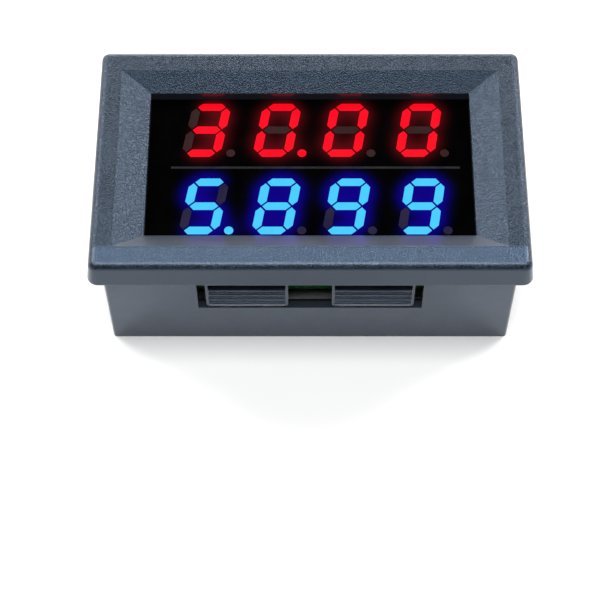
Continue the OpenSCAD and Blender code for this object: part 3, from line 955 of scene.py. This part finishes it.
def triangle_corners(mesh: bpy.types.Mesh) -> np.ndarray:
    """The corners of all triangles of a mesh.

    Args:
        mesh: the mesh that is read.

    Returns:
        Its triangles, count x 3 corners x 3.
    """
    mesh.calc_loop_triangles()
    flat = np.empty(len(mesh.loop_triangles) * 3, dtype=np.int32)
    mesh.loop_triangles.foreach_get("vertices", flat)
    return vertex_places(mesh)[flat.reshape(-1, 3)]


# ---------------------------------------------------------------- sub-assemblies


@dataclass
class Display:
    """The reflector block with its lenses, the dividing strip, base plate and dies."""

    face_cell: float = 0.3 * MM
    face_depth: float = 0.5 * MM
    halos: dict[Glow, Halo] = field(
        default_factory=lambda: {
            Glow.RED: Halo(1.0 * MM, 6.6, 2.06),
            Glow.BLUE: Halo(0.9 * MM, 16.9, 1.92),
        }
    )
    rows: dict[Glow, str] = field(
        default_factory=lambda: {Glow.RED: "volts", Glow.BLUE: "amps"}
    )
    splits: int = 4

    def build(self, frame: dict, shop: FinishShop) -> bpy.types.Object:
        """Makes the block with a fine face and its glow.

        Args:
            shop: where finishes come from.

        Returns:
            The block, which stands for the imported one.
        """
        packed = frame["nodes"]["display_housing"]
        mesh = packed.data.copy()
        mesh.name = "display_block"
        self.refine_face(mesh)
        places = vertex_places(mesh)
        for glow in Glow:
            row = self.rows[glow]
            lit = [
                node
                for name, node in frame["nodes"].items()
                if name.startswith(row) and name.endswith("_lit")
            ]
            share = self.light_share(places[:, :2], lit, self.halos[glow])
            share[places[:, 2] < places[:, 2].max() - self.face_depth] = 0.0
            layer = mesh.attributes.new(glow.value, "FLOAT", "POINT")
            layer.data.foreach_set("value", share.astype(np.float32))
        block = bpy.data.objects.new("display_block", mesh)
        bpy.context.scene.collection.objects.link(block)
        block.data.materials.clear()
        block.data.materials.append(shop.finish("display_black"))
        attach(block, BODY)
        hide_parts("display_housing")
        return block

    def refine_face(self, mesh: bpy.types.Mesh) -> None:
        """Merges the mesh and cuts its front face into small cells, without changing its shape.

        Args:
            mesh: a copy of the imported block's mesh.
        """
        places = vertex_places(mesh)
        low, high = places.min(axis=0), places.max(axis=0)
        front = high[2] - 0.001 * MM
        work = bmesh.new()
        work.from_mesh(mesh)
        bmesh.ops.remove_doubles(work, verts=work.verts, dist=1e-7)
        for axis in (0, 1):
            normal = Vector((axis == 0, axis == 1, 0))
            for cut in np.arange(low[axis] + self.face_cell, high[axis], self.face_cell):
                faces = [f for f in work.faces if f.normal.z > 0.9 and f.verts[0].co.z > front]
                edges = {e for f in faces for e in f.edges}
                bmesh.ops.bisect_plane(
                    work, geom=[*edges, *faces], plane_co=normal * cut, plane_no=normal
                )
        for face in work.faces:
            face.smooth = False
        work.to_mesh(mesh)
        work.free()

    def light_share(self, points: np.ndarray, lenses: list, halo: Halo) -> np.ndarray:
        """How brightly points of the face glow beside the lit lenses.

        Each front triangle of a lens is split into small ones. A small one of area a at the
        distance r adds a exp(-r^2 / 2 reach^2) / (2 pi reach^2), so the sum f is 1 in the
        middle of an endless lit face. The share is 1 - exp(-gain f^power).

        Args:
            points: where the light is wanted, count x 2.
            lenses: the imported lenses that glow.
            halo: how far and how strongly the light spreads.

        Returns:
            The share of each point.
        """
        corners = np.concatenate([triangle_corners(lens.data) for lens in lenses])
        front = (corners[:, :, 2] > corners[:, :, 2].max() - 1e-6).all(axis=1)
        corners = corners[front][:, :, :2]
        a, b = corners[:, 1] - corners[:, 0], corners[:, 2] - corners[:, 0]
        area = np.abs(a[:, 0] * b[:, 1] - a[:, 1] * b[:, 0]) / 2 / self.splits**2
        steps = np.arange(self.splits)
        u, v = (part.ravel() for part in np.meshgrid(steps, steps))
        upright = np.stack([u, v])[:, u + v < self.splits] + 1 / 3
        turned = np.stack([u, v])[:, u + v < self.splits - 1] + 2 / 3
        weights = np.concatenate([upright, turned], axis=1) / self.splits
        along_a, along_b = weights[0, :, None] * a[:, None], weights[1, :, None] * b[:, None]
        spots = corners[:, None, 0] + along_a + along_b
        strength = np.repeat(area, weights.shape[1])
        away = np.linalg.norm(points[:, None, :] - spots.reshape(1, -1, 2), axis=2)
        falls = np.exp(-((away / halo.reach) ** 2) / 2)
        lit = (falls * strength).sum(axis=1) / (2 * math.pi * halo.reach**2)
        return 1.0 - np.exp(-halo.gain * lit**halo.power)


@dataclass
class BoardWork:
    """What lies on the rear face of the circuit board: tracks, pads and solder fillets.

    x and y of the paths are in millimetres, and z falls away from the rear face.
    """

    copper: float = 0.035 * MM
    fine: float = 0.28 * MM
    broad: float = 1.3 * MM
    pad_margin: float = 0.16 * MM
    pad_rise: float = 1.2
    fillet_skin: float = 0.01 * MM
    fillet_margin: float = 0.12 * MM
    fillet_rise: float = 0.32 * MM
    terminals: tuple[str, ...] = ("capacitor_ends", "resistor_ends")

    def build(self, frame: dict, shop: FinishShop) -> list[bpy.types.Object]:
        """Makes the three pieces.

        Args:
            shop: where finishes come from.

        Returns:
            The tracks, the pads and the fillets.
        """
        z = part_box("circuit_board")[0].z
        nodes = [frame["nodes"][name] for name in self.terminals]
        boxes = np.concatenate([self.box_extents(node.data) for node in nodes])
        middle = boxes.mean(axis=1)[:, :2]
        half = (boxes[:, 1] - boxes[:, 0])[:, :2] / 2
        pad_z = z - self.copper * np.array([-SUNK, self.pad_rise])
        pads = loft("board_pads", middle, half, np.array([self.pad_margin] * 2), pad_z)
        rise = np.linspace(0.0, 1.0, 4)
        fillets = loft(
            "terminal_fillets",
            middle,
            half,
            self.fillet_skin + self.fillet_margin * (1.0 - rise) ** 2,
            z - self.copper - self.fillet_rise * rise,
        )
        fine, broad = self.fine_paths(), self.broad_paths()
        widths = [self.fine] * len(fine) + [self.broad] * len(broad)
        tracks = ribbons("board_tracks", fine + broad, widths, z, self.copper)
        for piece, slot in ((tracks, "board_green"), (pads, "tinned_metal"), (fillets, "solder")):
            piece.data.materials.append(shop.finish(slot))
            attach(piece, BODY)
        return [tracks, pads, fillets]

    @staticmethod
    def box_extents(mesh: bpy.types.Mesh) -> np.ndarray:
        """The low and high corners of each plain box of a mesh, which has 12 triangles a box."""
        corners = triangle_corners(mesh).reshape(-1, 36, 3)
        return np.stack([corners.min(axis=1), corners.max(axis=1)], axis=1)

    @staticmethod
    def fan(
        starts: np.ndarray,
        ends: np.ndarray,
        y: tuple[float, float],
        levels: tuple[float | np.ndarray, float | np.ndarray],
    ) -> list[np.ndarray]:
        """Tracks that leave a row of points, run across and reach another row.

        Args:
            starts: X of each start.
            ends: X of each end.
            y: Y of the starts and of the ends.
            levels: Y at which each track starts and ends its run across.

        Returns:
            One path of four points for each track.
        """
        across = np.stack([starts, starts, ends, ends], axis=-1)
        heights = (y[0], *levels, y[1])
        upward = np.stack([np.ones_like(starts) * height for height in heights], axis=-1)
        return list(np.stack([across, upward], axis=-1) * MM)

    def fine_paths(self) -> list[np.ndarray]:
        """Signal tracks: controller to drivers, parts above it, and drivers to their resistors."""
        lead_pitch, chip_pitch, column_pitch = 0.65, 1.27, 2.5
        end, foot = 0.65, 0.95  # from the middle of a chip part and of a driver to its terminals
        leads = -1.5 + (np.arange(10) - 4.5) * lead_pitch
        drivers = -8.2 + 3.5 * np.arange(4)
        columns = column_pitch * (np.arange(6) - 2)
        lower = column_pitch * (np.arange(4) - 2.6)
        turns = np.array([-3.05, -3.3, -3.3, -3.05])
        feet = np.sort(np.concatenate([drivers - foot, drivers + foot]))
        rests = np.sort(np.concatenate([lower - end, lower + end]))
        chip = 5.1 + chip_pitch * np.arange(4)
        return [
            *self.fan(leads[:4], drivers, (-2.7, -3.9), (turns, turns)),
            *self.fan(leads[[0, 2, 4, 6, 8, 9]], columns - end, (3.5, 5.2), (3.9, 4.6)),
            *self.fan(columns + end, columns + end, (5.2, 6.85), (5.6, 6.4)),
            *self.fan(columns - end, columns - end, (6.85, 9.6), (7.6, 8.6)),
            *self.fan(feet, rests, (-5.6, -6.9), (-6.0, -6.4)),
            *self.fan(chip, 4.35 + 1.85 * np.arange(4), (3.7, 5.2), (4.0, 4.7)),
        ]

    def broad_paths(self) -> list[np.ndarray]:
        """Supply, ground and current tracks."""
        paths = (
            [(-12.0, 9.6), (9.0, 9.6)],
            [(-19.6, -10.0), (19.6, -10.0)],
            [(-16.8, -6.2), (-16.8, -1.0), (-17.6, 1.5), (-16.2, 5.2)],
            [(-12.8, -6.2), (-12.8, -10.0)],
            [(-12.8, -1.0), (-12.2, 3.0), (-12.4, 8.9)],
            [(12.82, -5.0), (11.0, -2.2), (11.0, 3.4)],
            [(16.78, -5.0), (18.6, -2.2), (18.6, 3.4)],
        )
        return [np.array(path) * MM for path in paths]


@dataclass(frozen=True)
class SoftBox:
    """A soft box: where it hangs, its size and how bright its face is.

    turn_deg goes from +Y towards +X and tilt_deg from straight up; size is width by height.
    """

    name: str
    turn_deg: float
    tilt_deg: float
    size: tuple[float, float]
    glow: float
    distance: float = 1.5


@dataclass
class Studio:
    """Pale floor, soft light from above, behind and both sides, and the camera."""

    floor_size: float = 2.4
    floor_rows: int = 25
    camera_distance: float = 185.81 * MM
    camera_height_deg: float = 60.814
    camera_turn_deg: float = 0.43
    camera_roll_deg: float = -0.367
    aim: tuple[float, float, float] = (-1.086 * MM, -18.411 * MM, 18.0 * MM)
    focal_mm: float = 105.146
    surround: float = 0.02
    boxes: tuple[SoftBox, ...] = (
        SoftBox("overhead", 0.0, 0.0, (0.70, 0.40), 12.0),
        SoftBox("viewer_high", 180.0, 18.0, (0.80, 0.50), 9.5),
        SoftBox("rear_high", -26.0, 24.0, (0.80, 0.30), 0.8),
        SoftBox("rear_middle", -9.0, 58.0, (0.60, 0.50), 2.6),
        SoftBox("rear_left", -48.0, 57.0, (0.70, 0.60), 13.0),
        SoftBox("rear_right", 48.0, 57.0, (0.70, 0.60), 14.0),
        SoftBox("rear_strip", 0.0, 82.0, (1.60, 0.40), 7.5),
        SoftBox("left_side", -95.0, 60.0, (0.80, 0.70), 1.5),
    )

    def build(self, effects: Effects) -> None:
        """Makes the floor, the lights and the camera.

        Args:
            effects: the shared shader groups, for the floor's finish.
        """
        self.make_floor(effects)
        self.make_lights()
        self.make_camera()
        bpy.context.scene.view_settings.view_transform = "Standard"

    def make_floor(self, effects: Effects) -> None:
        """Makes a level sheet: x and y run evenly over the floor and z is 0.

        Args:
            effects: the shared shader groups.
        """
        side = np.linspace(-0.5, 0.5, self.floor_rows) * self.floor_size
        x, y = np.meshgrid(side, side)
        floor = surface("floor", np.stack([x, y, np.zeros_like(x)], axis=-1))
        finish = Finish(
            "pale_floor",
            colour=(0.90, 0.90, 0.90),
            second=(0.92, 0.92, 0.92),
            worn=(0.92, 0.92, 0.92),
            rough=(0.7, 0.8),
            drift=0.2,
            grain=2 * MM,
            depth=0.001 * MM,
            specular=0.1,
        )
        floor.data.materials.append(finish.build(effects))

    def make_lights(self) -> None:
        """A dim surround and the soft boxes."""
        world = bpy.data.worlds.new("studio_surround")
        world.use_nodes = True
        surround = world.node_tree.nodes["Background"]
        surround.inputs["Color"].default_value = (1.0, 1.0, 1.0, 1.0)
        surround.inputs["Strength"].default_value = self.surround
        bpy.context.scene.world = world
        for box in self.boxes:
            self.soft_box(box)

    def soft_box(self, box: SoftBox) -> None:
        """Makes an area light that faces the meter.

        Args:
            box: where it hangs, its size and its glow.
        """
        lamp = bpy.data.lights.new(box.name, "AREA")
        lamp.shape = "RECTANGLE"
        lamp.size, lamp.size_y = box.size
        lamp.energy = box.glow * math.pi * box.size[0] * box.size[1]
        turn, tilt = math.radians(box.turn_deg), math.radians(box.tilt_deg)
        away = math.sin(tilt)
        back = Vector((math.sin(turn) * away, math.cos(turn) * away, math.cos(tilt)))
        light = bpy.data.objects.new(box.name, lamp)
        light.location = back * box.distance
        light.rotation_mode = "QUATERNION"
        light.rotation_quaternion = back.to_track_quat("Z", "Y")
        bpy.context.scene.collection.objects.link(light)

    def make_camera(self) -> None:
        """The camera stands in front of and above the meter, and looks down at its foot."""
        turn, height = math.radians(self.camera_turn_deg), math.radians(self.camera_height_deg)
        level_part = math.cos(height)
        back = Vector(
            (math.sin(turn) * level_part, -math.cos(turn) * level_part, math.sin(height))
        )
        level = Vector((0, 0, 1)).cross(back).normalized()
        right = Matrix.Rotation(math.radians(self.camera_roll_deg), 3, back) @ level
        upward = back.cross(right)
        place = Vector(self.aim) + back * self.camera_distance
        view = bpy.data.cameras.new("camera")
        view.lens = self.focal_mm
        view.sensor_width = 36.0
        view.clip_start, view.clip_end = 0.01, 20.0
        camera = bpy.data.objects.new("camera", view)
        axes = Matrix((right, upward, back)).transposed()
        camera.matrix_world = Matrix.Translation(place) @ axes.to_4x4()
        bpy.context.scene.collection.objects.link(camera)
        bpy.context.scene.camera = camera


def main() -> None:
    """Loads the frame, builds each sub-assembly in order and dresses what was packed."""
    logging.basicConfig(level=logging.INFO, format="%(name)s: %(message)s", stream=sys.stdout)
    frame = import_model()
    shop = FinishShop()
    for name, node in sorted(frame["nodes"].items()):
        shop.dress_node(node)
        log.info("dressed %s", name)
    block = Display().build(frame, shop)
    for piece in [block, *BoardWork().build(frame, shop)]:
        log.info("built %s with %d faces", piece.name, len(piece.data.polygons))
    Studio().build(shop.effects)
    log.info("built the studio")


if __name__ == "__main__":
    main()
